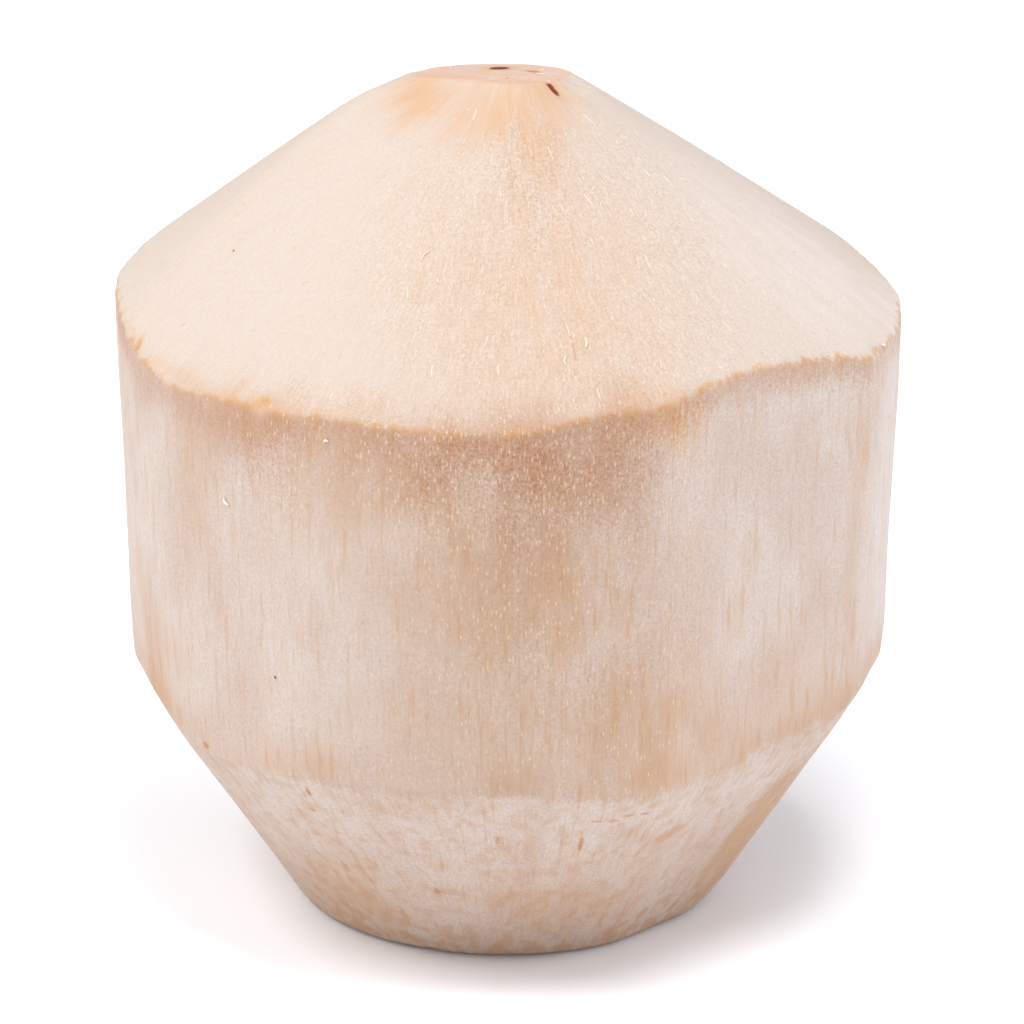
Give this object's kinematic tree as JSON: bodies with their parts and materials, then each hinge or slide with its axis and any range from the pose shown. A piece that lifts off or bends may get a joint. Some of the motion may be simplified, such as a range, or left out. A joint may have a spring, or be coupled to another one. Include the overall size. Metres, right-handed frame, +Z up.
{
  "type": "trimmed young coconut",
  "caption": "Young coconut pared of its green skin with a knife: coned crown with a small tip cut, upright faceted wall and a tapered foot with a flat base.",
  "frame": {"origin": "centre of the flat base on the surface it stands on", "axes": "+Z up along the husk's axis to the crown's tip, -Y towards the front seen in the picture, +X to its right"},
  "size_m": [0.1162, 0.1164, 0.1293],
  "materials": {
    "husk_flesh": "bare knife-cut husk: pale cream fibres with peach and ochre streaks, matte"
  },
  "bodies": {
    "root": {"husk": "husk_flesh"}
  },
  "joints": []
}
